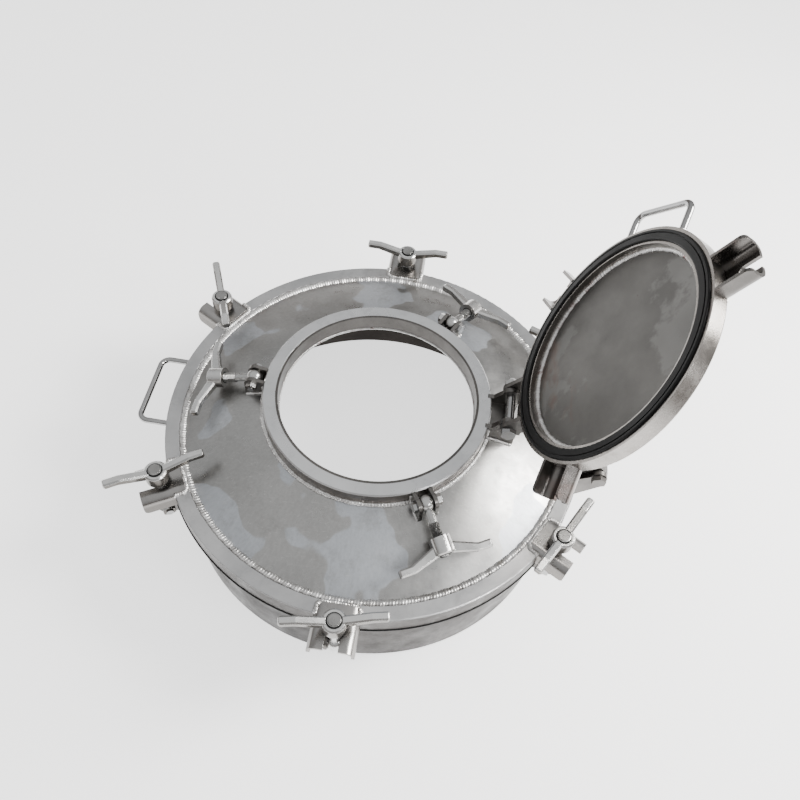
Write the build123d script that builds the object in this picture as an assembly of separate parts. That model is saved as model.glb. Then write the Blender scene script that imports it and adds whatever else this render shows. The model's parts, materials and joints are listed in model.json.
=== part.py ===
from build123d import *
from math import sqrt
import os

# Tank manway cover: a dished main cover clamped on a collar by six swing bolts, with a small hinged
# manway lid in its middle that closes on three more swing bolts. Millimetres. Z is up and the origin is
# the centre of the collar's bottom edge. Both hinges lie towards +X, both handles away from it.
# The main cover is clamped shut, and the lid stands open against its stop.

# Collar that is welded to the tank
COLLAR_R = 338          # outside of the wall
COLLAR_H = 164
COLLAR_T = 4
FLANGE_W = 10           # rolled band round the top of the wall, how far it stands out
FLANGE_H = 14

# Main cover
RIM_OVER = 12           # rim's outside beyond the collar's wall
RIM_W = 24              # width of the channel that holds the gasket
RIM_H = 38
SHEET_T = 4             # sheet of the rims, the dish and the neck
SEAL_T = 12             # gasket thickness
SEAL_PROUD = 3          # how far a gasket stands out of its channel
DISH_R = 750            # crown radius of the dish
DISH_DROP = 6           # outer edge of the dish below the rim's top
DISH_HANDLE_W, DISH_HANDLE_OUT = 130, 46

# Neck and lid
NECK_R = 186
NECK_W = 25             # outside of the neck to its bore
NECK_STAND = 26.87353   # neck's top above the dish at its wall, which puts it 72 above the rim's top
NECK_DEPTH = 33         # inner tube
LID_INSET = 6           # lid's rim inside the neck's
LID_H = 24
LID_DEPTH = 14          # recess under the lid's plate
LID_SEAL_W = 17
LID_BAND_T = 5
LID_PLATE_T = 4
LID_OPEN = 119          # opening angle at the stop, degrees
LID_HANDLE_W, LID_HANDLE_OUT, LID_HANDLE_AZ = 108, 38, 120
HANDLE_BAR = 10

# What follows from these: the collar carries the rim, the rim the dish, the dish the neck
FLANGE_R = COLLAR_R + FLANGE_W
RIM_R = COLLAR_R + RIM_OVER
RIM_BOTTOM = COLLAR_H + SEAL_PROUD
RIM_TOP = RIM_BOTTOM + RIM_H
DISH_EDGE_R = RIM_R - RIM_W
DISH_CENTRE = RIM_TOP - DISH_DROP - sqrt(DISH_R**2 - DISH_EDGE_R**2)
NECK_BORE = NECK_R - NECK_W
NECK_TOP = DISH_CENTRE + sqrt(DISH_R**2 - NECK_R**2) + NECK_STAND
LID_R = NECK_R - LID_INSET
LID_BOTTOM = NECK_TOP + SEAL_PROUD
LID_TOP = LID_BOTTOM + LID_H

# Swing bolts: thread diameter, pivot and reach, outer ones on the collar and inner ones on the neck
OUTER_AZ = [-90, -30, 30, 90, 150, 210]
OUTER_NUT_TURN = [12, -1, 38, 0, 53, -88]       # each wing nut as it was left, from square to its ear
INNER_AZ = [60, 180, 300]
OUTER_OUT, OUTER_DOWN = 15, 16          # pivots beyond the rim and below the collar's top
INNER_OUT, INNER_DOWN = 19, 9           # pivots beyond the neck and below its top
OUTER = dict(thread=20, shank=16, ring_r=RIM_R + OUTER_OUT, pivot_z=COLLAR_H - OUTER_DOWN, ear_w=70,
             ear_out=33, slack=9, nut_span=154, hub_r=18, hub_h=23, eye_r=15, pin=12)
INNER = dict(thread=16, shank=13, ring_r=NECK_R + INNER_OUT, pivot_z=NECK_TOP - INNER_DOWN, ear_w=60,
             ear_out=21, slack=12, nut_span=148, hub_r=16.5, hub_h=27, eye_r=13, pin=10)
EYE_W = 18
EYE_GAP = 1             # eye to clevis plate, each side
LUG_T = 6
INNER_LAID = 106        # inner bolts laid down from upright, degrees
# slack is how far a nut is backed off above its ear, so that its bolt can swing out past the ear's end
THREAD_END = 4          # thread standing out above the nut
THREAD_BELOW = 22       # thread under the backed-off nut
NUT_ARM_W, NUT_ARM_H = 13, 12.5         # section of a wing nut's arm
NUT_TIP_UP, NUT_TIP_L = 12, 21          # flat tip of the arm: its top above the hub's, and its length
NUT_TIP, NUT_KNEE_OVER, NUT_KNEE_UNDER = 3, 5, 7        # roundings of the arm

# Ears, bent from plate
EAR_T = 5
EAR_H = 30
EAR_BEND = 10           # inside of the bends between web and legs
SLOT_PLAY = 1

# Lid hinge and cover hinge
HINGE_X = NECK_R + 28
HINGE_Z = NECK_TOP + 13
HINGE_PIN = 14
HINGE_BOSS = 14
HINGE_LUG_IN, HINGE_LUG_T = 25, 8
HINGE_SIDE = 1          # between a neck lug and a lid arm
STOP_CLEAR = 0.5
MAIN_HINGE_X = RIM_R + 34
MAIN_HINGE_Z = RIM_TOP - 15
MAIN_LUG_T, MAIN_LUG_IN = 8, 34
MAIN_LUG_H, MAIN_LUG_DEEP = 70, 20      # at the collar's wall, and below the pin
MAIN_PIN = 14

# Clearances
PIN_CLEAR = 0.06        # radial, every pin in its hole
NUT_CLEAR = 0.08        # radial, wing nut on its bolt
WELD = 9                # leg of the weld beads

BOTTOM = (Align.CENTER, Align.CENTER, Align.MIN)


def dish_top(r, crown=DISH_R):
    """Height of the dish's upper face at radius r."""
    return DISH_CENTRE + sqrt(crown**2 - r**2)


def tube(outer, inner, low, high):
    wall = Cylinder(outer, high - low, align=BOTTOM) - Cylinder(inner, high - low, align=BOTTOM)
    return Pos(0, 0, low) * wall


def rod(start, direction, radius, length):
    """Cylinder from start along direction."""
    return Plane(origin=start, z_dir=direction) * Cylinder(radius, length, align=BOTTOM)


def ring_of(points):
    """Solid of revolution about Z from a closed outline of (radius, height) points."""
    return revolve(Plane.XZ * make_face(Polyline(*points, close=True)), Axis.Z)


def plate(points, y_from, thickness, roundings=()):
    """Plate in the XZ plane from an outline, from y_from to y_from + thickness."""
    face = make_face(Polyline(*points, close=True))
    for index, radius in roundings:
        corner = face.vertices().sort_by_distance((*points[index], 0))[0]
        face = fillet(corner, radius)
    return extrude(Plane((0, y_from + thickness, 0), x_dir=(1, 0, 0), z_dir=(0, -1, 0)) * face, thickness)


def hexagon(across, height):
    return extrude(RegularPolygon(across / sqrt(3), 6), height)


# ---------------------------------------------------------------- collar and main cover
def collar_wall():
    return tube(COLLAR_R, COLLAR_R - COLLAR_T, 0, COLLAR_H)


def collar_flange():
    return chamfer(tube(FLANGE_R, COLLAR_R, COLLAR_H - FLANGE_H, COLLAR_H).edges().group_by(Axis.Z)[0], 1.5)


def channel(outer, band, inner, low, high, sheet):
    """Rim bent as an inverted channel, its band outside and its skirt inside."""
    body = ring_of([(outer, low), (outer, high), (inner, high), (inner, low), (inner + sheet, low),
                    (inner + sheet, high - sheet), (outer - band, high - sheet), (outer - band, low)])
    top = body.edges().filter_by(GeomType.CIRCLE).group_by(Axis.Z)[-1]
    return fillet(top, sheet / 2)


def cover_rim():
    return channel(RIM_R, SHEET_T, DISH_EDGE_R, RIM_BOTTOM, RIM_TOP, SHEET_T)


def seal(outer, inner, low):
    """Flat gasket with rounded edges and a groove round its face."""
    body = fillet(tube(outer, inner, low, low + SEAL_T).edges().group_by(Axis.Z)[0], 2)
    groove = outer - (outer - inner) / 3
    return body - tube(groove + 1, groove - 1, low - 1, low + 1.5)


def cover_gasket():
    return seal(RIM_R - SHEET_T, DISH_EDGE_R + SHEET_T, COLLAR_H)


def cover_gasket_seat():
    low = COLLAR_H + SEAL_T
    return tube(RIM_R - SHEET_T, DISH_EDGE_R + SHEET_T, low, low + SHEET_T)


def cover_dish():
    tube_r, mid = NECK_BORE + SHEET_T, (NECK_BORE + SHEET_T + DISH_EDGE_R) / 2
    inside = DISH_R - SHEET_T
    low_out, low_in = dish_top(DISH_EDGE_R, inside), dish_top(tube_r, inside)
    outline = ThreePointArc((tube_r, dish_top(tube_r)), (mid, dish_top(mid)), (DISH_EDGE_R, dish_top(DISH_EDGE_R)))
    outline += Line((DISH_EDGE_R, dish_top(DISH_EDGE_R)), (DISH_EDGE_R, low_out))
    outline += ThreePointArc((DISH_EDGE_R, low_out), (mid, dish_top(mid, inside)), (tube_r, low_in))
    outline += Line((tube_r, low_in), (tube_r, dish_top(tube_r)))
    return revolve(Plane.XZ * make_face(outline), Axis.Z)


def neck_band():
    """Outer band and flat top of the neck, standing on the dish."""
    low, outer, inner = dish_top(NECK_R - SHEET_T), NECK_R, NECK_BORE + SHEET_T
    body = ring_of([(outer, low), (outer, NECK_TOP), (inner, NECK_TOP), (inner, NECK_TOP - SHEET_T),
                    (outer - SHEET_T, NECK_TOP - SHEET_T), (outer - SHEET_T, low)])
    return chamfer(body.edges().filter_by(GeomType.CIRCLE).group_by(Axis.Z)[-1].sort_by(SortBy.RADIUS)[-1], 2)


def neck_tube():
    return tube(NECK_BORE + SHEET_T, NECK_BORE, NECK_TOP - NECK_DEPTH, NECK_TOP)


def dish_ball():
    """Everything under the dish's upper face, to trim what stands on it."""
    return Pos(0, 0, DISH_CENTRE) * Sphere(DISH_R)


def bead(corner_r, dr, dz):
    """Weld bead on the dish, dz up a band at corner_r and dr along the dish."""
    low = dish_top(corner_r) - WELD
    body = ring_of([(corner_r, dish_top(corner_r) + dz), (corner_r, low), (corner_r + dr, low),
                    (corner_r + dr, dish_top(abs(corner_r + dr)))])
    return body - dish_ball()


def cover_rim_weld():
    return bead(DISH_EDGE_R, -WELD * 1.2, DISH_DROP - 1)


def neck_weld(standing_on_it):
    body = bead(NECK_R, WELD, WELD * 0.7)
    for piece in standing_on_it:
        body -= piece
    return body


def ear(spec, rim_r, rim_top, rim_w, at_az=0):
    """Ear bent from plate: a slotted web over the rim with two legs down its sides, outside the rim."""
    r, w = spec["ring_r"], spec["ear_w"]
    section = Rectangle(w, EAR_H, align=(Align.CENTER, Align.MAX))
    section = fillet(section.vertices().group_by(Axis.Y)[-1], EAR_T + EAR_BEND)
    inner = Rectangle(w - 2 * EAR_T, EAR_H, align=(Align.CENTER, Align.MAX))
    inner = Pos(0, -EAR_T) * fillet(inner.vertices().group_by(Axis.Y)[-1], EAR_BEND)
    start, end = rim_r - rim_w + 4, r + spec["ear_out"]
    across = Plane((start, 0, rim_top + EAR_T), x_dir=(0, 1, 0), z_dir=(1, 0, 0))
    body = extrude(across * (section - inner), end - start)
    corner = body.edges().filter_by(Axis.Y).group_by(Axis.X)[-1].group_by(Axis.Z)[0]
    body = fillet(corner, EAR_T * 1.5)
    slot_r = spec["thread"] / 2 + SLOT_PLAY
    body -= Pos(r, 0, rim_top - EAR_H) * Cylinder(slot_r, 3 * EAR_H, align=BOTTOM)
    slot = Box(2 * spec["ear_out"], 2 * slot_r, 3 * EAR_H, align=(Align.MIN, Align.CENTER, Align.CENTER))
    body -= Pos(r, 0, rim_top) * slot
    body -= Pos(0, 0, rim_top - 2 * EAR_H) * Cylinder(rim_r, 2 * EAR_H, align=BOTTOM)
    return Rot(0, 0, at_az) * body


def handle(rim_r, height, width, reach, azimuth):
    """Round-bar handle bent as a U, its ends on the rim's band."""
    half, bend = width / 2, HANDLE_BAR * 1.5
    inner = sqrt((rim_r - 1) ** 2 - half**2)
    path = Polyline((inner - 6, -half, height), (rim_r + reach, -half, height),
                    (rim_r + reach, half, height), (inner - 6, half, height))
    path = fillet(path.vertices().group_by(Axis.X)[-1], bend)
    bar = sweep(Plane(origin=path @ 0, z_dir=path % 0) * Circle(HANDLE_BAR / 2), path)
    bar -= Pos(0, 0, height - HANDLE_BAR) * Cylinder(rim_r, 2 * HANDLE_BAR, align=BOTTOM)
    return Rot(0, 0, azimuth) * bar


def cover_handle():
    return handle(RIM_R, RIM_TOP - RIM_H / 2, DISH_HANDLE_W, DISH_HANDLE_OUT, 180)


# ---------------------------------------------------------------- clevises
def clevis(spec, inner_pts):
    """Two lug plates with the pin's holes, one each side of the swing bolt's eye."""
    r, z = spec["ring_r"], spec["pivot_z"]
    gap = EYE_W / 2 + EYE_GAP
    lugs = []
    for side in (-1, 1):
        y = gap if side > 0 else -gap - LUG_T
        body = plate(inner_pts, y, LUG_T)
        body += Pos(r, y + LUG_T / 2, z) * Rot(90, 0, 0) * Cylinder(spec["eye_r"], LUG_T)
        body -= Pos(r, y + LUG_T / 2, z) * Rot(90, 0, 0) * Cylinder(spec["pin"] / 2 + PIN_CLEAR, 2 * LUG_T)
        lugs.append(body)
    return lugs


def outer_clevis():
    r, z, e = OUTER["ring_r"], OUTER["pivot_z"], OUTER["eye_r"]
    outline = [(COLLAR_R - 8, z - 2 * e), (COLLAR_R - 8, z + e), (r, z + e), (r + e, z), (r, z - e),
               (COLLAR_R, z - 2 * e)]
    trim = Cylinder(COLLAR_R, COLLAR_H, align=BOTTOM)
    trim += Pos(0, 0, COLLAR_H - FLANGE_H) * Cylinder(FLANGE_R, FLANGE_H, align=BOTTOM)
    return [lug - trim for lug in clevis(OUTER, outline)]


def inner_clevis():
    r, z, e = INNER["ring_r"], INNER["pivot_z"], INNER["eye_r"]
    foot = dish_top(r + e) - 6
    outline = [(NECK_R - 8, foot), (NECK_R - 8, z + e / 2), (r, z + e), (r + e, z), (r + e, foot)]
    trim = Cylinder(NECK_R, NECK_TOP, align=BOTTOM)
    trim += dish_ball()
    return [lug - trim for lug in clevis(INNER, outline)]


def clevis_pin(spec):
    """Hexagon bolt through a clevis, head on the -Y side."""
    half, d = EYE_W / 2 + EYE_GAP + LUG_T, spec["pin"]
    body = rod((0, -half, 0), (0, 1, 0), d / 2, 2 * half + d)
    body += Plane((0, -half, 0), z_dir=(0, -1, 0)) * hexagon(1.6 * d, 0.6 * d)
    return Pos(spec["ring_r"], 0, spec["pivot_z"]) * body


def clevis_nut(spec):
    half, d = EYE_W / 2 + EYE_GAP + LUG_T, spec["pin"]
    body = Plane((0, half, 0), z_dir=(0, 1, 0)) * hexagon(1.6 * d, 0.8 * d)
    body -= rod((0, half, 0), (0, 1, 0), d / 2, d)
    return Pos(spec["ring_r"], 0, spec["pivot_z"]) * body


# ---------------------------------------------------------------- swing bolts and wing nuts
def nut_seat(spec, web_top):
    """Height of the wing nut's underside above the pivot."""
    return web_top + spec["slack"] - spec["pivot_z"]


def swing_bolt(spec, web_top):
    """Ball eye at the origin with its hole along Y, shank and thread up +Z."""
    reach = nut_seat(spec, web_top) + spec["hub_h"] + THREAD_END
    thread_from = nut_seat(spec, web_top) - THREAD_BELOW
    body = Sphere(spec["eye_r"]) & rod((0, -EYE_W / 2, 0), (0, 1, 0), spec["eye_r"], EYE_W)
    body += Cylinder(spec["shank"] / 2, thread_from, align=BOTTOM)
    screw = Pos(0, 0, thread_from) * Cylinder(spec["thread"] / 2, reach - thread_from, align=BOTTOM)
    body += chamfer(screw.edges().filter_by(GeomType.CIRCLE), 1.5)
    return body - rod((0, -EYE_W, 0), (0, 1, 0), spec["pin"] / 2 + PIN_CLEAR, 2 * EYE_W)


def wing_nut(spec):
    """Forged wing nut, its underside at z = 0 and its arms along Y, rising to flat tips."""
    high, hub, span = spec["hub_h"], spec["hub_r"], spec["nut_span"] / 2
    top, knee = high + NUT_TIP_UP, span - NUT_TIP_L
    arm = plate([(0, high / 5), (knee, top - NUT_ARM_H), (span, top - NUT_ARM_H), (span, top),
                 (knee - NUT_ARM_H / 4, top), (0, high - 2)], -NUT_ARM_W / 2, NUT_ARM_W,
                [(2, NUT_TIP), (3, NUT_TIP), (4, NUT_KNEE_OVER), (1, NUT_KNEE_UNDER)])
    arm = chamfer(arm.faces().sort_by(Axis.X)[-1].edges().filter_by(Axis.Z), NUT_ARM_W / 5)
    hub_body = Cylinder(hub, high, align=BOTTOM)
    hub_body = chamfer(hub_body.edges().group_by(Axis.Z)[-1], 2.5)
    body = hub_body + Rot(0, 0, 90) * arm + Rot(0, 0, -90) * arm
    body -= Cylinder(spec["thread"] / 2 + NUT_CLEAR, 3 * high)
    return body - Pos(0, 0, high - 2) * Cylinder(spec["thread"] / 2 + 2, high, align=BOTTOM)


def standing(piece, spec, azimuth, laid=0):
    """Puts a piece drawn about its pivot at its place on the ring, laid outwards by an angle."""
    return Rot(0, 0, azimuth) * Pos(spec["ring_r"], 0, spec["pivot_z"]) * Rot(0, laid, 0) * piece


# ---------------------------------------------------------------- lid
def lid_rim():
    return channel(LID_R, LID_BAND_T, LID_R - LID_BAND_T - LID_SEAL_W - SHEET_T, LID_BOTTOM, LID_TOP, SHEET_T)


def lid_gasket():
    return seal(LID_R - LID_BAND_T, LID_R - LID_BAND_T - LID_SEAL_W, NECK_TOP)


def lid_gasket_seat():
    low = NECK_TOP + SEAL_T
    return tube(LID_R - LID_BAND_T, LID_R - LID_BAND_T - LID_SEAL_W, low, low + SHEET_T)


def lid_plate():
    skirt = LID_R - LID_BAND_T - LID_SEAL_W - SHEET_T
    return Pos(0, 0, LID_BOTTOM + LID_DEPTH) * Cylinder(skirt, LID_PLATE_T, align=BOTTOM)


def lid_weld():
    skirt, under = LID_R - LID_BAND_T - LID_SEAL_W - SHEET_T, LID_BOTTOM + LID_DEPTH
    return ring_of([(skirt, under), (skirt, under - WELD * 0.5), (skirt - WELD * 0.6, under)])


def lid_handle():
    return handle(LID_R, LID_BOTTOM + LID_H / 2, LID_HANDLE_W, LID_HANDLE_OUT, LID_HANDLE_AZ)


def hinge_outside():
    return HINGE_LUG_IN + 2 * HINGE_LUG_T + HINGE_SIDE + 0.5


def hinge_bore():
    half = hinge_outside()
    return rod((HINGE_X, -half, HINGE_Z), (0, 1, 0), HINGE_PIN / 2 + PIN_CLEAR, 2 * half)


def lid_hinge_bracket():
    """Two arms over the lid's rim to the hinge pin, joined by the plate that stops the lid when open."""
    first = HINGE_LUG_IN + HINGE_LUG_T + HINGE_SIDE
    bar_low = LID_TOP
    outline = [(LID_R - 26, bar_low), (LID_R - 26, bar_low + 6), (LID_R - 6, bar_low + 12),
               (HINGE_X + 4, HINGE_Z + HINGE_BOSS - 1), (HINGE_X, HINGE_Z - HINGE_BOSS),
               (LID_R - 6, LID_BOTTOM + 3), (LID_R - 6, bar_low)]
    arms = []
    for y in (first, -first - HINGE_LUG_T):
        arm = plate(outline, y, HINGE_LUG_T) + rod((HINGE_X, y, HINGE_Z), (0, 1, 0), HINGE_BOSS, HINGE_LUG_T)
        arms.append(arm - rod((HINGE_X, y - 1, HINGE_Z), (0, 1, 0), HINGE_PIN / 2 + PIN_CLEAR, HINGE_LUG_T + 2))
    inner = HINGE_BOSS + STOP_CLEAR
    stop = Pos(inner, 0, -20) * Box(6, 2 * first, 26, align=(Align.MIN, Align.CENTER, Align.MIN))
    stop = Pos(HINGE_X, 0, HINGE_Z) * Rot(0, -LID_OPEN, 0) * stop
    body = arms[0] + arms[1] + stop
    body -= hinge_bore()
    return body - Pos(0, 0, LID_TOP - 2 * LID_H) * Cylinder(LID_R, 2 * LID_H, align=BOTTOM)


def neck_hinge_bracket():
    """Bent bracket on the neck: two lugs with the pin's holes and the web between them."""
    foot, low = dish_top(HINGE_X + HINGE_BOSS) - 6, NECK_TOP - 14
    outline = [(NECK_R - 8, foot), (NECK_R - 8, NECK_TOP), (NECK_R + 2, NECK_TOP + 1),
               (HINGE_X - 6, HINGE_Z + HINGE_BOSS - 2), (HINGE_X + HINGE_BOSS, HINGE_Z), (HINGE_X + HINGE_BOSS, foot)]
    body = Pos((NECK_R + HINGE_X) / 2 - 4, 0, low) * Box(HINGE_X - NECK_R, 2 * HINGE_LUG_IN, 5)
    for y in (HINGE_LUG_IN, -HINGE_LUG_IN - HINGE_LUG_T):
        body += plate(outline, y, HINGE_LUG_T) + rod((HINGE_X, y, HINGE_Z), (0, 1, 0), HINGE_BOSS, HINGE_LUG_T)
    return body - hinge_bore() - Cylinder(NECK_R, NECK_TOP, align=BOTTOM) - dish_ball()


def lid_hinge_pin():
    half = hinge_outside()
    body = rod((HINGE_X, -half, HINGE_Z), (0, 1, 0), HINGE_PIN / 2, 2 * half + 10)
    return body + Plane((HINGE_X, -half, HINGE_Z), z_dir=(0, -1, 0)) * hexagon(22, 8)


def lid_hinge_nut():
    """Domed nut on the hinge bolt's thread."""
    half = hinge_outside()
    body = Plane((HINGE_X, half, HINGE_Z), z_dir=(0, 1, 0)) * hexagon(22, 8)
    dome = Sphere(9.5) - Pos(0, -20, 0) * Box(40, 40, 40)
    body += Pos(HINGE_X, half + 8, HINGE_Z) * dome
    return body - rod((HINGE_X, half - 1, HINGE_Z), (0, 1, 0), HINGE_PIN / 2, 11)


# ---------------------------------------------------------------- main cover's hinge
def main_hinge_collar_lugs():
    """Pair of lugs on the collar that carry the main cover's hinge pin."""
    x, z, b = MAIN_HINGE_X, MAIN_HINGE_Z, HINGE_BOSS
    outline = [(COLLAR_R - 8, COLLAR_H - MAIN_LUG_H), (COLLAR_R - 8, COLLAR_H - 2), (x - b, z),
               (x, z + b - 2), (x + b, z), (x + b, z - MAIN_LUG_DEEP)]
    lugs = []
    for y in (MAIN_LUG_IN, -MAIN_LUG_IN - MAIN_LUG_T):
        lug = plate(outline, y, MAIN_LUG_T) + rod((x, y, z), (0, 1, 0), b, MAIN_LUG_T)
        lug -= rod((x, y - 1, z), (0, 1, 0), MAIN_PIN / 2 + PIN_CLEAR, MAIN_LUG_T + 2)
        lug -= Cylinder(COLLAR_R, COLLAR_H, align=BOTTOM)
        lug -= Pos(0, 0, COLLAR_H - FLANGE_H) * Cylinder(FLANGE_R, FLANGE_H, align=BOTTOM)
        lugs.append(lug - Pos(0, 0, COLLAR_H) * Cylinder(RIM_R + 1, RIM_H * 2, align=BOTTOM))
    return lugs


def main_hinge_arm():
    """Arm bent from plate on the cover's rim; its slots let the gasket be drawn down evenly on the collar."""
    x, z, b = MAIN_HINGE_X, MAIN_HINGE_Z, HINGE_BOSS
    wide = 2 * (MAIN_LUG_IN - 1)
    top = [(RIM_R - 10, RIM_TOP), (x, z + b + 4), (x + b, z + 4)]
    body = plate([(RIM_R - 10, RIM_BOTTOM + 4), *top, (x + b, z - 4), (x, z - b - 4)], -wide / 2, wide)
    hollow = plate([(RIM_R - 10, 0), *[(px - EAR_T * (px > x), pz - EAR_T) for px, pz in top], (x + b - EAR_T, 0)],
                   EAR_T - wide / 2, wide - 2 * EAR_T)
    body -= hollow
    slot = Pos(x, 0, z) * Box(MAIN_PIN + 2 * SLOT_PLAY, wide + 2, 8)
    for dz in (-4, 4):
        slot += rod((x, -wide, z + dz), (0, 1, 0), MAIN_PIN / 2 + SLOT_PLAY, 2 * wide)
    return body - slot - Cylinder(RIM_R, 2 * RIM_TOP)


def main_hinge_pin():
    half = MAIN_LUG_IN + MAIN_LUG_T
    body = rod((MAIN_HINGE_X, -half, MAIN_HINGE_Z), (0, 1, 0), MAIN_PIN / 2, 2 * half + 12)
    return body + Plane((MAIN_HINGE_X, -half, MAIN_HINGE_Z), z_dir=(0, -1, 0)) * hexagon(22, 9)


def main_hinge_nut():
    half = MAIN_LUG_IN + MAIN_LUG_T
    body = Plane((MAIN_HINGE_X, half, MAIN_HINGE_Z), z_dir=(0, 1, 0)) * hexagon(22, 11)
    return body - rod((MAIN_HINGE_X, half - 1, MAIN_HINGE_Z), (0, 1, 0), MAIN_PIN / 2, 20)


# ---------------------------------------------------------------- all pieces
def opened(piece):
    """Turns a lid piece, drawn closed, to the open stop."""
    hinge = Pos(HINGE_X, 0, HINGE_Z)
    return hinge * Rot(0, LID_OPEN, 0) * hinge.inverse() * piece


def all_pieces():
    neck_clevises = [Rot(0, 0, a) * lug for a in INNER_AZ for lug in inner_clevis()]
    bracket = neck_hinge_bracket()
    outer_web, inner_web = RIM_TOP + EAR_T, LID_TOP + EAR_T
    pieces = {
        "collar_wall": [collar_wall()],
        "collar_flange": [collar_flange()],
        "collar_clevises": [Rot(0, 0, a) * lug for a in OUTER_AZ for lug in outer_clevis()],
        "collar_clevis_bolts": [Rot(0, 0, a) * clevis_pin(OUTER) for a in OUTER_AZ],
        "collar_clevis_nuts": [Rot(0, 0, a) * clevis_nut(OUTER) for a in OUTER_AZ],
        "cover_gasket": [cover_gasket()],
        "cover_gasket_seat": [cover_gasket_seat()],
        "cover_rim": [cover_rim()],
        "cover_dish": [cover_dish()],
        "cover_rim_weld": [cover_rim_weld()],
        "cover_handle": [cover_handle()],
        "neck_band": [neck_band()],
        "neck_tube": [neck_tube()],
        "neck_weld": [neck_weld([*neck_clevises, bracket])],
        "neck_clevises": neck_clevises,
        "neck_clevis_bolts": [Rot(0, 0, a) * clevis_pin(INNER) for a in INNER_AZ],
        "neck_clevis_nuts": [Rot(0, 0, a) * clevis_nut(INNER) for a in INNER_AZ],
        "neck_hinge_bracket": [bracket],
        "lid_hinge_pin": [lid_hinge_pin()],
        "lid_hinge_nut": [lid_hinge_nut()],
        "main_hinge_lugs": main_hinge_collar_lugs(),
        "main_hinge_arm": [main_hinge_arm()],
        "main_hinge_pin": [main_hinge_pin()],
        "main_hinge_nut": [main_hinge_nut()],
        "lid_rim": [opened(lid_rim())],
        "lid_gasket": [opened(lid_gasket())],
        "lid_gasket_seat": [opened(lid_gasket_seat())],
        "lid_plate": [opened(lid_plate())],
        "lid_weld": [opened(lid_weld())],
        "lid_handle": [opened(lid_handle())],
        "lid_hinge_bracket": [opened(lid_hinge_bracket())],
    }
    for n, a in enumerate(OUTER_AZ, 1):
        pieces[f"cover_ear_{n}"] = [ear(OUTER, RIM_R, RIM_TOP, RIM_W, a)]
        pieces[f"outer_bolt_{n}"] = [standing(swing_bolt(OUTER, outer_web), OUTER, a)]
        raised = Pos(0, 0, nut_seat(OUTER, outer_web)) * Rot(0, 0, OUTER_NUT_TURN[n - 1]) * wing_nut(OUTER)
        pieces[f"outer_nut_{n}"] = [standing(raised, OUTER, a)]
    lid_w = LID_BAND_T + LID_SEAL_W + SHEET_T
    for n, a in enumerate(INNER_AZ, 1):
        pieces[f"lid_ear_{n}"] = [opened(ear(INNER, LID_R, LID_TOP, lid_w, a))]
        pieces[f"inner_bolt_{n}"] = [standing(swing_bolt(INNER, inner_web), INNER, a, INNER_LAID)]
        raised = Pos(0, 0, nut_seat(INNER, inner_web)) * wing_nut(INNER)
        pieces[f"inner_nut_{n}"] = [standing(raised, INNER, a, INNER_LAID)]
    return pieces


os.makedirs("parts", exist_ok=True)
for name, solids in all_pieces().items():
    bodies = [s for piece in solids for s in piece.solids()]
    export_step(bodies[0] if len(bodies) == 1 else Compound(children=bodies), f"parts/{name}.step")
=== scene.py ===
import json
import math

import bpy
from mathutils import Matrix, Vector


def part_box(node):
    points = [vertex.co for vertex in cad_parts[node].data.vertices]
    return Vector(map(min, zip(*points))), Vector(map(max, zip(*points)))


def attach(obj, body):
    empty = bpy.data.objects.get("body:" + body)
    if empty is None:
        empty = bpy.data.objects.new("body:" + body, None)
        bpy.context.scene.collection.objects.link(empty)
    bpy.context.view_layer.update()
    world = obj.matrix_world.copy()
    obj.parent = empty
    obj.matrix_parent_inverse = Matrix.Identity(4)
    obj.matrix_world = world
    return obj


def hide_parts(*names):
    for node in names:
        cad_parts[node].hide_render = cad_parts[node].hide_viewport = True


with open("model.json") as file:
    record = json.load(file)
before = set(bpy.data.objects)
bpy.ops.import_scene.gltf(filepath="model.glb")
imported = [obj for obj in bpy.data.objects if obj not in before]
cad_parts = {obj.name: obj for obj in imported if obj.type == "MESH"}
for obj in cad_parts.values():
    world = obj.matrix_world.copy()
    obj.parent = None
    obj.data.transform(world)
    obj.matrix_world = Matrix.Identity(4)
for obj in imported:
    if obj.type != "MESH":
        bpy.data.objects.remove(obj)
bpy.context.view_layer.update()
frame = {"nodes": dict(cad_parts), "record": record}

# ---------------------------------------------------------------- places, read from the frame
MM = 0.001
RIM_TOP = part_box("cover_rim")[1][2]
RIM_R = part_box("cover_rim")[1][1]
RIM_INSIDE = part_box("cover_dish")[1][1]
FLOOR_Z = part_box("collar_wall")[0][2]
COLLAR_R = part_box("collar_wall")[1][1]
NECK_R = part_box("neck_band")[1][1]
NECK_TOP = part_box("neck_band")[1][2]
DISH_R = 750 * MM                               # crown radius of the dish
DISH_EDGE_Z = RIM_TOP - 6 * MM                  # dish's outer edge
DISH_CENTRE = DISH_EDGE_Z - math.sqrt(DISH_R**2 - RIM_INSIDE**2)
EAR_HALF, LID_EAR_HALF = 31 * MM, 26 * MM       # half the width of an ear's web, outer and on the lid
CLEVIS_FACE, HINGE_FACE = 17 * MM, 34.5 * MM    # outer faces of the neck's clevises and of its hinge bracket
HANDLE_W, LID_HANDLE_W, BAR_R = 130 * MM, 108 * MM, 5.2 * MM

JOINTS = {joint["name"]: joint for joint in frame["record"]["behaviour"]["joints"]}
HINGE = Vector(JOINTS["lid_hinge"]["pos_m"])
LID_OPEN = math.radians(JOINTS["lid_hinge"]["range_deg"][1])
LID = Matrix.Translation(HINGE) @ Matrix.Rotation(LID_OPEN, 4, "Y") @ Matrix.Translation(-HINGE)
LID_R, LID_BORE = 180 * MM, 154 * MM            # outside of the lid, and the edge of its plate
LID_BOTTOM = NECK_TOP + 3 * MM                  # when closed
LID_DEPTH, LID_HIGH = 14 * MM, 24 * MM          # the plate's underside and the lid's top, above its bottom
LID_HANDLE_AZ = math.radians(120)
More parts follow.
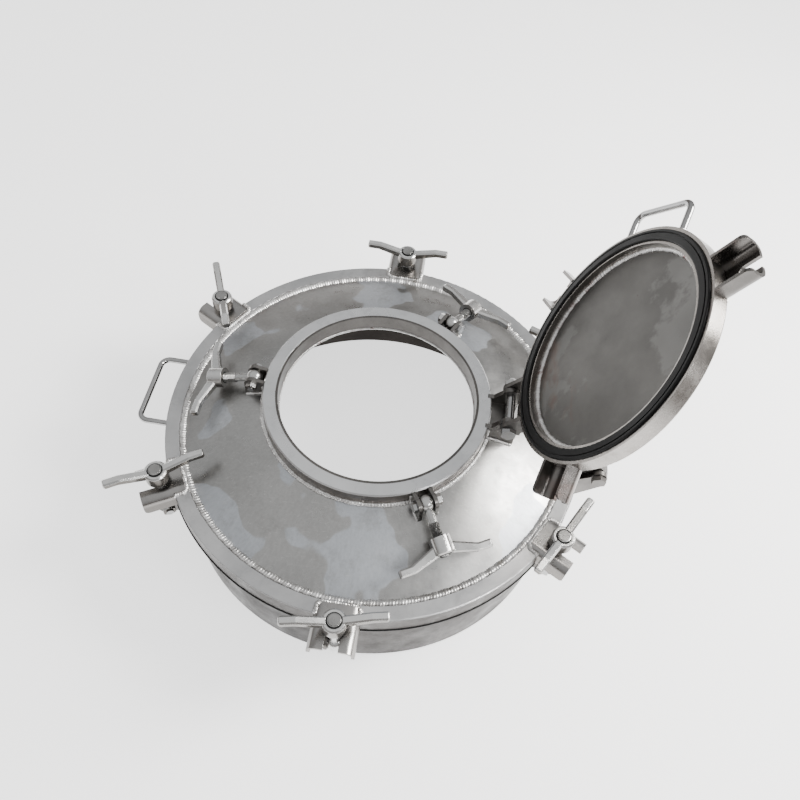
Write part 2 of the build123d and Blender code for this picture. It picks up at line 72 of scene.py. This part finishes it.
# Where the thread begins beyond the pivot, its pitch, and its radius
THREADS = {"outer": (49 * MM, 2.5 * MM, 10 * MM), "inner": (31 * MM, 2 * MM, 8 * MM)}


def azimuths(kind, count):
    """Directions of the swing bolts of one kind, seen from the Z axis."""
    spots = [JOINTS[f"{kind}_bolt_{n}_swing"]["pos_m"] for n in range(1, count + 1)]
    return [math.atan2(y, x) for x, y, _z in spots]


OUTER_AZ, INNER_AZ = azimuths("outer", 6), azimuths("inner", 3)


def dish_z(r):
    """Height of the dish's top at radius r."""
    return DISH_CENTRE + math.sqrt(DISH_R**2 - r**2)


# ---------------------------------------------------------------- material building blocks
def material(name):
    """A new material: itself, its node tree and its Principled shader."""
    mat = bpy.data.materials.new(name)
    mat.use_nodes = True
    tree = mat.node_tree
    tree.nodes.clear()
    out = tree.nodes.new("ShaderNodeOutputMaterial")
    shader = tree.nodes.new("ShaderNodeBsdfPrincipled")
    tree.links.new(shader.outputs["BSDF"], out.inputs["Surface"])
    return mat, tree, shader


def feed(tree, socket, value):
    """Link value into the socket if it is another node's output, and otherwise set it."""
    if isinstance(value, bpy.types.NodeSocket):
        tree.links.new(value, socket)
    else:
        socket.default_value = value


def node(tree, kind, inputs=(), **values):
    """A new node, with its properties from values and its sockets from inputs."""
    made = tree.nodes.new(kind)
    for key, value in values.items():
        setattr(made, key, value)
    for key, value in dict(inputs).items():
        feed(tree, made.inputs[key], value)
    return made


def math_node(tree, operation, a, b=0.0, clamp=False):
    return node(tree, "ShaderNodeMath", {0: a, 1: b}, operation=operation, use_clamp=clamp).outputs[0]


def place(tree, scale=(1, 1, 1), turn=None):
    """Object coordinates; turn is the matrix that brings the piece back to its own upright axes."""
    out = node(tree, "ShaderNodeTexCoord").outputs["Object"]
    if turn is not None:
        out = node(tree, "ShaderNodeMapping", {"Vector": out, "Location": turn.translation,
                                               "Rotation": turn.to_euler()}).outputs[0]
    if tuple(scale) != (1, 1, 1):
        out = node(tree, "ShaderNodeMapping", {"Vector": out, "Scale": scale}).outputs[0]
    return out


def round_place(tree, turn=None, around=0.15, rise=1.7):
    """Coordinates in which noise is drawn out round the Z axis, like turning marks.
    around sets how far, and rise how fast the marks change with height."""
    split = node(tree, "ShaderNodeSeparateXYZ", {0: place(tree, turn=turn)})
    x, y, z = split.outputs
    radius = math_node(tree, "SQRT", math_node(tree, "ADD", math_node(tree, "MULTIPLY", x, x),
                                               math_node(tree, "MULTIPLY", y, y)))
    # sine and cosine of the angle, so that there is no seam
    across = math_node(tree, "MULTIPLY", math_node(tree, "DIVIDE", x, radius), around)
    along = math_node(tree, "MULTIPLY", math_node(tree, "DIVIDE", y, radius), around)
    level = math_node(tree, "ADD", radius, math_node(tree, "MULTIPLY", z, rise))
    return node(tree, "ShaderNodeCombineXYZ", {0: across, 1: along, 2: level}).outputs[0]


def noise(tree, vector, scale, detail=4.0, rough=0.55):
    return node(tree, "ShaderNodeTexNoise", {"Vector": vector, "Scale": scale, "Detail": detail,
                                             "Roughness": rough}).outputs["Fac"]


def ramp(tree, fac, stops):
    """Colour of fac between stops, which are (where, grey or colour)."""
    made = node(tree, "ShaderNodeValToRGB", {"Fac": fac})
    band = made.color_ramp
    while len(band.elements) < len(stops):
        band.elements.new(0.5)
    for element, (where, value) in zip(band.elements, stops):
        element.position = where
        element.color = (*value, 1) if isinstance(value, tuple) else (value, value, value, 1)
    return made.outputs["Color"]


def mixed(tree, fac, a, b, mode="MIX"):
    made = node(tree, "ShaderNodeMix", data_type="RGBA", blend_type=mode)
    for socket, value in ((made.inputs[0], fac), (made.inputs[6], a), (made.inputs[7], b)):
        feed(tree, socket, (*value, 1) if isinstance(value, tuple) and len(value) == 3 else value)
    return made.outputs[2]


def relief(tree, shader, height, strength, distance, soft_edge=0.0):
    """Bump on the shader's normal, over edges rounded by soft_edge."""
    inputs = {"Height": height, "Strength": strength, "Distance": distance}
    if soft_edge:
        inputs["Normal"] = node(tree, "ShaderNodeBevel", {"Radius": soft_edge}, samples=4).outputs[0]
    tree.links.new(node(tree, "ShaderNodeBump", inputs).outputs["Normal"], shader.inputs["Normal"])


def upward(tree):
    """1 on faces that look up, 0 on upright ones, in the piece's own axes."""
    split = node(tree, "ShaderNodeSeparateXYZ", {0: node(tree, "ShaderNodeTexCoord").outputs["Normal"]})
    return math_node(tree, "MULTIPLY", split.outputs[2], 1.0, clamp=True)


def steel(name, low, high, rough=(0.28, 0.45), side=None, brushed=0.0, smudge=0.5, turn=None, edge=0.6 * MM,
          tint=None):
    """Stainless steel. low to high is the colour across soft patches; side is a painted shade, the darker
    colour laid on upright faces; brushed draws the grain out round the axis; smudge is how far handling marks
    change the gloss;
    turn is as for place; edge is how far corners look rounded; tint is heat colour."""
    mat, tree, shader = material(name)
    here = place(tree, turn=turn)
    colour = ramp(tree, noise(tree, here, 7.0, 6.0, 0.62), [(0.32, low), (0.68, high)])
    # Painted shade: upright faces take the darker side colour, faces that look up keep the lit colour
    if side:
        upright = mixed(tree, noise(tree, here, 14.0), side, tuple(v * 1.35 for v in side))
        colour = mixed(tree, upward(tree), upright, colour)
    marks = noise(tree, here, 38.0, 8.0, 0.72)
    colour = mixed(tree, ramp(tree, marks, [(0.52, 0.0), (0.66, 0.35)]), colour, tuple(v * 0.72 for v in low))
    if brushed:
        lines = noise(tree, round_place(tree, turn), 420.0, 3.0, 0.6)
        colour = mixed(tree, brushed, colour, ramp(tree, lines, [(0.3, 0.55), (0.7, 1.0)]), "MULTIPLY")
    else:
        lines = noise(tree, here, 700.0, 2.0)
    if tint:
        spread = ramp(tree, noise(tree, here, 18.0, 5.0, 0.65), [(0.5, 0.0), (0.72, 0.55)])
        colour = mixed(tree, spread, colour, tint)
    tree.links.new(colour, shader.inputs["Base Color"])
    shader.inputs["Metallic"].default_value = 1.0
    wipe = noise(tree, here, 16.0, 7.0, 0.7)
    gloss = ramp(tree, wipe, [(0.5 - smudge * 0.3, rough[0]), (0.5 + smudge * 0.3, rough[1])])
    tree.links.new(gloss, shader.inputs["Roughness"])
    relief(tree, shader, lines, 0.15, 0.4 * MM, edge)
    return mat


def weld_steel(name, tint):
    """Weld metal, bright where it is clean and of the colour tint where it isn't."""
    mat, tree, shader = material(name)
    here = place(tree)
    bright = [(0.3, tint), (0.45, (0.6, 0.59, 0.58)), (0.7, (0.88, 0.88, 0.87))]
    colour = ramp(tree, noise(tree, here, 45.0, 5.0, 0.65), bright)
    tree.links.new(colour, shader.inputs["Base Color"])
    shader.inputs["Metallic"].default_value = 1.0
    tree.links.new(ramp(tree, noise(tree, here, 90.0), [(0.3, 0.25), (0.7, 0.5)]), shader.inputs["Roughness"])
    relief(tree, shader, noise(tree, here, 330.0, 4.0), 0.5, 1 * MM)
    return mat


def rubber():
    """Dull black rubber."""
    mat, tree, shader = material("black_rubber")
    here = place(tree)
    colour = ramp(tree, noise(tree, here, 30.0, 6.0), [(0.45, 0.0015), (0.8, 0.005)])
    tree.links.new(colour, shader.inputs["Base Color"])
    tree.links.new(ramp(tree, noise(tree, here, 12.0), [(0.35, 0.38), (0.7, 0.55)]), shader.inputs["Roughness"])
    shader.inputs["Specular IOR Level"].default_value = 0.22
    relief(tree, shader, noise(tree, here, 600.0), 0.12, 0.3 * MM, 0.6 * MM)
    return mat


def lid_sheet(turn):
    """The lid's underside: dull sheet with a paler wiped patch, a brown rub mark and scale near the weld."""
    mat, tree, shader = material("lid_sheet")
    here = place(tree, turn=turn)
    sheet = [(0.3, (0.105, 0.102, 0.097)), (0.7, (0.155, 0.151, 0.143))]
    colour = ramp(tree, noise(tree, here, 9.0, 6.0, 0.6), sheet)
    patch = ramp(tree, noise(tree, here, 5.0, 9.0, 0.6), [(0.47, 0.0), (0.5, 0.8)])
    colour = mixed(tree, patch, colour, (0.19, 0.188, 0.181))
    rub = ramp(tree, noise(tree, place(tree, (9, 3.2, 9), turn), 1.0, 5.0, 0.7), [(0.6, 0.0), (0.68, 0.55)])
    colour = mixed(tree, rub, colour, (0.17, 0.115, 0.095))
    fleck = ramp(tree, noise(tree, here, 130.0, 3.0), [(0.7, 0.0), (0.76, 0.7)])
    colour = mixed(tree, fleck, colour, (0.10, 0.09, 0.08))
    tree.links.new(colour, shader.inputs["Base Color"])
    shader.inputs["Metallic"].default_value = 0.85
    gloss = ramp(tree, noise(tree, here, 11.0, 7.0), [(0.3, 0.42), (0.7, 0.6)])
    tree.links.new(gloss, shader.inputs["Roughness"])
    relief(tree, shader, noise(tree, here, 500.0), 0.1, 0.4 * MM)
    return mat


def threaded(name, pivot, axis, start, pitch):
    """Bolt steel whose screw thread, with painted shade in its grooves, begins at start along axis from pivot.
    """
    mat, tree, shader = material(name)
    here = place(tree)
    colour = ramp(tree, noise(tree, here, 40.0, 4.0), [(0.3, (0.42, 0.42, 0.41)), (0.7, (0.62, 0.62, 0.61))])
    shift = node(tree, "ShaderNodeVectorMath", {0: here, 1: tuple(pivot)}, operation="SUBTRACT").outputs[0]
    along = node(tree, "ShaderNodeVectorMath", {0: shift, 1: tuple(axis)},
                 operation="DOT_PRODUCT").outputs["Value"]
    turns = math_node(tree, "PINGPONG", math_node(tree, "DIVIDE", along, pitch), 0.5)
    on = math_node(tree, "GREATER_THAN", along, start)
    groove = math_node(tree, "MULTIPLY", turns, on)
    # Painted shade: each groove of the thread is coloured darker
    shade = math_node(tree, "MULTIPLY", math_node(tree, "SUBTRACT", 0.5, turns), on)
    colour = mixed(tree, math_node(tree, "MULTIPLY", shade, 1.4, clamp=True), colour, (0.07, 0.065, 0.06))
    tree.links.new(colour, shader.inputs["Base Color"])
    shader.inputs["Metallic"].default_value = 1.0
    tree.links.new(ramp(tree, noise(tree, here, 60.0), [(0.3, 0.18), (0.7, 0.36)]), shader.inputs["Roughness"])
    relief(tree, shader, groove, 1.0, 2 * MM, 0.4 * MM)
    return mat


def dish_sheet():
    """Brushed sheet with matt worn patches that have clear edges, polishing swirls and fine scratches."""
    mat, tree, shader = material("dish_sheet")
    here = place(tree)
    sheet = [(0.32, (0.35, 0.348, 0.34)), (0.68, (0.50, 0.498, 0.49))]
    colour = ramp(tree, noise(tree, here, 6.0, 6.0, 0.62), sheet)
    patch = ramp(tree, noise(tree, here, 6.5, 3.0, 0.45), [(0.55, 0.0), (0.56, 0.8)])
    colour = mixed(tree, patch, colour, (0.55, 0.58, 0.62))
    smear = ramp(tree, noise(tree, here, 24.0, 9.0, 0.75), [(0.5, 0.0), (0.68, 0.45)])
    colour = mixed(tree, smear, colour, (0.23, 0.225, 0.215))
    warp = node(tree, "ShaderNodeVectorMath", {0: here, 1: (7.0, 31.0, 7.0)}, operation="MULTIPLY").outputs[0]
    scratch = ramp(tree, noise(tree, warp, 5.5, 2.0, 0.4), [(0.494, 0.0), (0.5, 0.6), (0.506, 0.0)])
    colour = mixed(tree, scratch, colour, (0.62, 0.62, 0.61))
    lines = noise(tree, round_place(tree), 420.0, 3.0, 0.6)
    colour = mixed(tree, 0.25, colour, ramp(tree, lines, [(0.3, 0.5), (0.7, 1.0)]), "MULTIPLY")
    tree.links.new(colour, shader.inputs["Base Color"])
    shader.inputs["Metallic"].default_value = 1.0
    gloss = ramp(tree, noise(tree, here, 13.0, 7.0, 0.7), [(0.36, 0.26), (0.64, 0.46)])
    tree.links.new(mixed(tree, patch, gloss, (0.5, 0.5, 0.5)), shader.inputs["Roughness"])
    relief(tree, shader, lines, 0.12, 0.4 * MM)
    return mat


BACK = LID.inverted()                           # from the open lid to its closed place
# Painted shade: a near-black colour for the rim's upright side, in place of the shade that falls there
PAINTED_SIDE_SHADE = (0.03, 0.0258, 0.0228)
DISH = dish_sheet()
RIM = steel("rim_blasted", (0.40, 0.405, 0.41), (0.60, 0.60, 0.60), rough=(0.32, 0.5), side=PAINTED_SIDE_SHADE, edge=1 * MM)
# side: painted shade, a darker colour on the neck band's upright faces
NECK = steel("neck_steel", (0.56, 0.57, 0.58), (0.74, 0.745, 0.75), rough=(0.24, 0.4),
             side=(0.17, 0.155, 0.145), edge=1 * MM)
# Painted shade: the inside of the neck is coloured far darker than its outside, for the shade inside the tube
SHADED_NECK_INSIDE = steel("neck_inside_painted_shade", (0.10, 0.095, 0.09), (0.19, 0.18, 0.17), rough=(0.3, 0.5),
                    brushed=0.4, edge=0)
# Painted shade: the lid's band is coloured darker than its steel, for the dark surroundings that it reflects
SHADED_LID_BAND = steel("lid_band_painted_shade", (0.24, 0.222, 0.205), (0.38, 0.36, 0.34), rough=(0.2, 0.36),
                 brushed=0.5, turn=BACK)
# side: painted shade, a darker colour on the ears' upright faces
EAR = steel("bent_plate", (0.27, 0.265, 0.26), (0.42, 0.41, 0.4), rough=(0.2, 0.38),
            side=(0.15, 0.14, 0.13), smudge=0.6)
LID_EAR = steel("lid_bent_plate", (0.11, 0.105, 0.10), (0.25, 0.235, 0.225), rough=(0.2, 0.36), smudge=0.6,
                tint=(0.2, 0.13, 0.11))
LUGS = steel("lug_plate", (0.11, 0.105, 0.10), (0.24, 0.23, 0.22), rough=(0.25, 0.42))
# side: painted shade, a darker colour on the wing nuts' upright faces
FORGED = steel("forged_bright", (0.60, 0.60, 0.59), (0.82, 0.82, 0.81), rough=(0.18, 0.34),
               side=(0.13, 0.12, 0.11), edge=1.3 * MM)
BAR = steel("polished_bar", (0.3, 0.3, 0.3), (0.5, 0.5, 0.5), rough=(0.1, 0.24))
# Painted shade: the collar is coloured far darker than stainless steel, for the shade it shows over a bright
# floor
SHADED_COLLAR = steel("collar_sheet_painted_shade", (0.016, 0.0134, 0.0117), (0.034, 0.0287, 0.0252), rough=(0.3, 0.5), brushed=0.35)
WELD = weld_steel("weld_bright", (0.36, 0.34, 0.315))
WELD_HOT = weld_steel("weld_tinted", (0.17, 0.075, 0.07))
RUBBER = rubber()
LID_SHEET = lid_sheet(BACK)

# The first key that a node's name holds gives its finish
FINISHES = [("gasket_seat", SHADED_COLLAR), ("gasket", RUBBER), ("weld", WELD), ("cover_dish", DISH),
            ("cover_rim", RIM), ("neck_band", NECK), ("neck_tube", SHADED_NECK_INSIDE), ("lid_plate", LID_SHEET),
            ("lid_rim", SHADED_LID_BAND), ("lid_ear", LID_EAR), ("lid_hinge_bracket", LUGS), ("handle", BAR),
            ("ear", EAR), ("neck_hinge_bracket", LUGS), ("clevises", LUGS), ("main_hinge", LUGS),
            ("nut", FORGED), ("bolts", BAR), ("pin", BAR), ("collar", SHADED_COLLAR)]


def bolt_material(name):
    """Each swing bolt has its own thread, along its own axis."""
    kind, number = name.rsplit("_bolt_", 1)
    pivot = Vector(JOINTS[f"{name}_swing"]["pos_m"])
    axis = Vector(JOINTS[f"{kind}_nut_{number}_spin"]["axis"]).normalized()
    start, pitch, _radius = THREADS[kind]
    return threaded(f"thread_{name}", pivot, axis, start, pitch)


def dress_nodes():
    for name in frame["nodes"]:
        piece = bpy.data.objects[name]
        if "_bolt_" in name:
            chosen = bolt_material(name)
        else:
            chosen = next(mat for key, mat in FINISHES if key in name)
        piece.data.materials.clear()
        piece.data.materials.append(chosen)


# ---------------------------------------------------------------- weld beads
def add_mesh(name, verts, faces, mat, body, to=None):
    """A piece that rides body. The matrix to takes it from where it is drawn to where it lies at rest."""
    mesh = bpy.data.meshes.new(name)
    mesh.from_pydata([tuple((to @ v) if to else v) for v in verts], [], faces)
    mesh.polygons.foreach_set("use_smooth", [True] * len(faces))
    mesh.materials.append(mat)
    piece = bpy.data.objects.new(name, mesh)
    bpy.context.collection.objects.link(piece)
    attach(piece, body)
    return piece


BEAD_SIDES = 9                                  # corners of a bead's cross-section
BEAD_STEPS = 5                                  # cross-sections to a ripple


def bead(name, path, wide, high, mat, body, closed=False, pitch=4.5 * MM, to=None, lean=None):
    """Rippled weld bead along path. lean(point, ahead) gives the direction the bead stands out in."""
    spots, step = [], pitch / BEAD_STEPS
    points = path + path[:1] if closed else path
    for a, b in zip(points, points[1:]):
        count = max(1, round((b - a).length / step))
        spots += [a.lerp(b, i / count) for i in range(count)]
    if not closed:
        spots.append(points[-1])
    total, verts, faces = len(spots), [], []
    for i, spot in enumerate(spots):
        before = spots[i - 1] if closed or i else spots[i]
        after = spots[(i + 1) % total] if closed or i < total - 1 else spots[i]
        ahead = (after - before).normalized()
        out = lean(spot, ahead) if lean else Vector((0, 0, 1))
        out = (out - out.dot(ahead) * ahead).normalized()
        across = ahead.cross(out)
        # Each ripple swells towards its end, and the hand that laid it wanders
        phase = (i % BEAD_STEPS) / BEAD_STEPS
        wander = 1 + 0.10 * math.sin(i * 0.37) + 0.07 * math.sin(i * 0.113 + 1.3)
        end = 0.35 if not closed and i in (0, total - 1) else 1.0
        tall = high * (0.72 + 0.38 * phase) * wander * end
        broad = wide * (0.90 + 0.14 * phase) * wander * end
        for k in range(BEAD_SIDES):
            turn = 2 * math.pi * k / BEAD_SIDES
            back = ahead * (-0.35 * pitch * math.cos(turn) ** 2)
            verts.append(spot + across * (broad / 2 * math.cos(turn)) + out * (tall * math.sin(turn)) + back)
    laps = total if closed else total - 1
    for i in range(laps):
        a, b = i * BEAD_SIDES, ((i + 1) % total) * BEAD_SIDES
        for k in range(BEAD_SIDES):
            j = (k + 1) % BEAD_SIDES
            faces.append((a + k, a + j, b + j, b + k))
    if not closed:
        faces.append(tuple(reversed(range(BEAD_SIDES))))
        faces.append(tuple(range((total - 1) * BEAD_SIDES, total * BEAD_SIDES)))
    return add_mesh(name, verts, faces, mat, body, to=to)


def circle(radius, z, count=240):
    turns = [2 * math.pi * i / count for i in range(count)]
    return [Vector((radius * math.cos(t), radius * math.sin(t), z)) for t in turns]


def inward(spot, _ahead):
    return Vector((-spot.x, -spot.y, 0)).normalized() * 0.45 + Vector((0, 0, 1))


def outward(spot, _ahead):
    return Vector((spot.x, spot.y, 0)).normalized() + Vector((0, 0, 1))


def ring_welds():
    """The long round beads: rim to dish, neck to dish, the lid's plate, the neck's foot, the collar's band."""
    r = RIM_INSIDE - 5 * MM
    rim = bead("rim_bead", circle(r, dish_z(r) + 1.0 * MM), 13 * MM, 3.6 * MM, WELD, "cover", True, lean=inward)
    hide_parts("cover_rim_weld")
    r = NECK_R + 1.5 * MM
    neck = bead("neck_bead", circle(r, dish_z(r) + 1.5 * MM), 9 * MM, 4 * MM, WELD, "cover", True, lean=outward)
    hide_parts("neck_weld")
    lid = bead("lid_bead", circle(LID_BORE - 2 * MM, LID_BOTTOM + LID_DEPTH - 1 * MM), 8 * MM, 3 * MM, WELD_HOT,
               "lid", True, to=LID,
               lean=lambda spot, _: Vector((-spot.x, -spot.y, 0)).normalized() * 0.7 - Vector((0, 0, 1)))
    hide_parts("lid_weld")
    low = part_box("neck_tube")[0][2] + 3 * MM
    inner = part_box("neck_tube")[1][1] - 4 * MM
    bead("neck_root_bead", circle(inner, low), 5 * MM, 1.6 * MM, WELD_HOT, "cover", True,
         lean=lambda spot, _: Vector((-spot.x, -spot.y, 0)))
    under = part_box("collar_flange")[0][2] - 0.5 * MM
    bead("flange_bead", circle(COLLAR_R + 1 * MM, under), 5 * MM, 2 * MM, SHADED_COLLAR, "cover", True,
         lean=lambda spot, _: Vector((spot.x, spot.y, 0)).normalized() - Vector((0, 0, 1)))


def turned(points, azimuth):
    """points turned round the Z axis."""
    spin = Matrix.Rotation(azimuth, 4, "Z")
    return [spin @ Vector(p) for p in points]


def ear_path(inner, outer, half, z, corner, azimuth):
    """From one side of an ear's web round its inner end to the other side."""
    side, end = half + 1 * MM, half - 5 * MM
    return turned([(outer, side, z), (inner + corner, side, z), (inner, end, z),
                   (inner, -end, z), (inner + corner, -side, z), (outer, -side, z)], azimuth)


def ear_welds():
    """Beads round each ear's web, on the cover's rim and on the lid."""
    for n, azimuth in enumerate(OUTER_AZ, 1):
        path = ear_path(RIM_INSIDE + 2 * MM, RIM_R - 1 * MM, EAR_HALF, RIM_TOP, 6 * MM, azimuth)
        bead(f"ear_bead_{n}", path, 8 * MM, 4.2 * MM, WELD, "cover", pitch=3.8 * MM)
    for n, azimuth in enumerate(INNER_AZ, 1):
        path = ear_path(LID_R - 22 * MM, LID_R - 4 * MM, LID_EAR_HALF, LID_BOTTOM + LID_HIGH, 5 * MM, azimuth)
        bead(f"lid_ear_bead_{n}", path, 7 * MM, 3.6 * MM, WELD, "lid", pitch=3.8 * MM, to=LID)


def lug_welds():
    """Beads down the neck and out along the dish, beside the neck's clevises and its hinge bracket."""
    foot = NECK_R + 31 * MM
    for n, azimuth in enumerate(INNER_AZ, 1):
        for side, name in ((1, "a"), (-1, "b")):
            y = side * CLEVIS_FACE
            path = [(NECK_R + 1 * MM, y, NECK_TOP - 8 * MM), (NECK_R + 1 * MM, y, dish_z(NECK_R) + 2 * MM),
                    (foot, y, dish_z(foot) + 0.5 * MM)]
            bead(f"clevis_bead_{n}{name}", turned(path, azimuth), 5 * MM, 2.4 * MM, WELD, "cover",
                 pitch=3.4 * MM, lean=outward)
    foot = HINGE.x + 14 * MM
    for side, name in ((1, "a"), (-1, "b")):
        y = side * HINGE_FACE
        path = [Vector((NECK_R - 2 * MM, y, NECK_TOP - 4 * MM)),
                Vector((NECK_R - 1 * MM, y, dish_z(NECK_R) + 2 * MM)),
                Vector((foot, y, dish_z(foot) + 0.5 * MM))]
        bead(f"hinge_bead_{name}", path, 5 * MM, 2.6 * MM, WELD, "cover", pitch=3.4 * MM, lean=outward)


def bar_ends(label, rim_r, z, width, azimuth, body, to=None):
    """A collar of weld round each end of a handle that stands on a rim of radius rim_r."""
    half = width / 2
    x = math.sqrt(rim_r**2 - half**2)
    spin = Matrix.Rotation(azimuth, 4, "Z")
    for side, name in ((1, "a"), (-1, "b")):
        loop = [spin @ Vector((x + 0.8 * MM, side * half + BAR_R * math.cos(t), z + BAR_R * math.sin(t)))
                for t in (2 * math.pi * k / 24 for k in range(24))]
        middle = spin @ Vector((x, side * half, z))
        bead(f"{label}_{name}", loop, 3.4 * MM, 1.8 * MM, WELD, body, True, pitch=3 * MM, to=to,
             lean=lambda spot, _, middle=middle: spot - middle)


def bar_welds():
    bar_ends("handle_bead", RIM_R, RIM_TOP - 19 * MM, HANDLE_W, math.pi, "cover")
    bar_ends("lid_handle_bead", LID_R, LID_BOTTOM + LID_HIGH / 2, LID_HANDLE_W, LID_HANDLE_AZ, "lid", LID)


# ---------------------------------------------------------------- rubber, and painted shade in the gaps
def lathed(name, outline, mat, body, count=240, foot=Vector((0, 0, 0)), axis=Vector((0, 0, 1)),
           side=Vector((1, 0, 0))):
    """Closed ring turned round axis from (radius, height) points, with heights from foot."""
    other, m = axis.cross(side), len(outline)
    verts, faces = [], []
    for i in range(count):
        t, j = 2 * math.pi * i / count, (i + 1) % count
        spoke = side * math.cos(t) + other * math.sin(t)
        verts += [foot + spoke * r + axis * z for r, z in outline]
        faces += [(i * m + k, j * m + k, j * m + (k + 1) % m, i * m + (k + 1) % m) for k in range(m)]
    return add_mesh(name, verts, faces, mat, body)


def gasket_lip_and_gap_shade():
    """The gasket bulges out between the rim and the collar's band, all the way round; its black lip, out past
    the rim's edge, is also painted shade of the gap.
    """
    low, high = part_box("collar_flange")[1][2] + 0.1 * MM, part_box("cover_rim")[0][2] - 0.1 * MM
    middle = (low + high) / 2
    lathed("gasket_lip_and_gap_shade", [(RIM_R - 5 * MM, low), (RIM_R + 0.8 * MM, low), (RIM_R + 1.8 * MM, middle),
                          (RIM_R + 0.8 * MM, high), (RIM_R - 5 * MM, high)], RUBBER, "cover")


def painted_gap_shade_rings():
    """A dark ring, painted shade of the gap, shows round each bolt where it stands out of its wing nut."""
    for name in frame["nodes"]:
        if f"{name}_spin" not in JOINTS:
            continue
        joint, piece = JOINTS[f"{name}_spin"], bpy.data.objects[name]
        pivot, axis = Vector(joint["pos_m"]), Vector(joint["axis"]).normalized()
        hole = THREADS[name.split("_")[0]][2]
        # The hub's outer face is the farther end of the nut's vertices that lie near the bore
        ups = []
        for vertex in piece.data.vertices:
            out = piece.matrix_world @ vertex.co - pivot
            up = out.dot(axis)
            if (out - axis * up).length < hole + 2.5 * MM:
                ups.append(up)
        end = max(ups, key=abs)
        sunk, proud = end - math.copysign(0.3 * MM, end), end + math.copysign(0.25 * MM, end)
        outline = [(hole + 0.1 * MM, sunk), (hole + 1.7 * MM, sunk),
                   (hole + 1.5 * MM, proud), (hole + 0.1 * MM, proud)]
        # The ring is a black sheet laid where there is only the gap's shade
        lathed(f"{name}_gap_shade", outline, RUBBER, name, 48, pivot, axis, axis.orthogonal().normalized())


# ---------------------------------------------------------------- stage
FLOOR_HALF, FLOOR_GLOW = 9, 1.5
FLOOR_CORNERS = [(-FLOOR_HALF, -FLOOR_HALF, 0), (FLOOR_HALF, -FLOOR_HALF, 0),
                 (FLOOR_HALF, FLOOR_HALF, 0), (-FLOOR_HALF, FLOOR_HALF, 0)]
# Grey overhead, darker and warmer towards the horizon, as in a workshop
SKY = [(0.0, (0.30, 0.26, 0.23)), (0.2, (0.34, 0.31, 0.29)), (0.5, (0.78, 0.79, 0.8)), (0.85, (1.0, 1.0, 1.0))]
SKY_STRENGTH = 0.85


def pale_floor():
    """A plain pale floor that glows a little, so that it stays white away from the lamps."""
    mesh = bpy.data.meshes.new("floor")
    mesh.from_pydata(FLOOR_CORNERS, [], [(0, 1, 2, 3)])
    floor = bpy.data.objects.new("floor", mesh)
    floor.location.z = FLOOR_Z - 0.5 * MM
    bpy.context.collection.objects.link(floor)
    mat, tree, shader = material("pale_floor")
    colour = ramp(tree, noise(tree, place(tree), 3.0), [(0.3, 0.93), (0.7, 0.96)])
    tree.links.new(colour, shader.inputs["Base Color"])
    shader.inputs["Roughness"].default_value = 1.0
    shader.inputs["Specular IOR Level"].default_value = 0.0
    shader.inputs["Emission Color"].default_value = (1, 1, 1, 1)
    shader.inputs["Emission Strength"].default_value = FLOOR_GLOW
    mesh.materials.append(mat)
    return floor


def area(name, spot, target, size, power, colour=(1, 1, 1)):
    """A round soft lamp at spot that looks at target."""
    light = bpy.data.lights.new(name, "AREA")
    light.shape, light.size, light.energy, light.color = "DISK", size, power, colour
    lamp = bpy.data.objects.new(name, light)
    lamp.location = spot
    lamp.rotation_euler = (Vector(target) - Vector(spot)).to_track_quat("-Z", "Y").to_euler()
    bpy.context.collection.objects.link(lamp)


def stage():
    pale_floor()
    area("window", (1.95, 0.45, 1.75), (0.2, -0.08, 0.2), 1.15, 120, (1, 0.98, 0.95))
    area("front_right", (2.0, -1.35, 1.75), (0.35, 0, 0.45), 0.7, 26)
    world = bpy.data.worlds.new("workshop")
    world.use_nodes = True
    tree = world.node_tree
    ray = node(tree, "ShaderNodeTexCoord").outputs["Generated"]
    up = node(tree, "ShaderNodeSeparateXYZ", {0: ray}).outputs[2]
    tree.links.new(ramp(tree, up, SKY), tree.nodes["Background"].inputs["Color"])
    tree.nodes["Background"].inputs["Strength"].default_value = SKY_STRENGTH
    bpy.context.scene.world = world


# ---------------------------------------------------------------- camera
CAM_DISTANCE = 1.2893
CAM_ELEVATION, CAM_AZIMUTH, CAM_ROLL = 55.5, -86.8, 6.29        # degrees
CAM_AIM = (0.0368, 0.0410)                  # across and away, from the cover's centre
SENSOR, LENS_PER_WIDTH = 36, 0.93


def camera():
    eye = bpy.data.cameras.new("camera")
    eye.sensor_width = SENSOR
    eye.lens = SENSOR * LENS_PER_WIDTH
    turn = math.radians(CAM_AZIMUTH + 90)
    across = Vector((math.cos(turn), math.sin(turn), 0))
    away = Vector((-math.sin(turn), math.cos(turn), 0))
    aim = Vector((0, 0, RIM_TOP)) + CAM_AIM[0] * across + CAM_AIM[1] * away
    elevation = math.radians(CAM_ELEVATION)
    spot = aim - CAM_DISTANCE * math.cos(elevation) * away + Vector((0, 0, CAM_DISTANCE * math.sin(elevation)))
    seen = bpy.data.objects.new("camera", eye)
    look = (aim - spot).to_track_quat("-Z", "Y").to_matrix().to_4x4()
    seen.matrix_world = Matrix.Translation(spot) @ look @ Matrix.Rotation(math.radians(CAM_ROLL), 4, "Z")
    bpy.context.collection.objects.link(seen)
    bpy.context.scene.camera = seen


dress_nodes()
ring_welds()
ear_welds()
lug_welds()
bar_welds()
gasket_lip_and_gap_shade()
painted_gap_shade_rings()
stage()
camera()
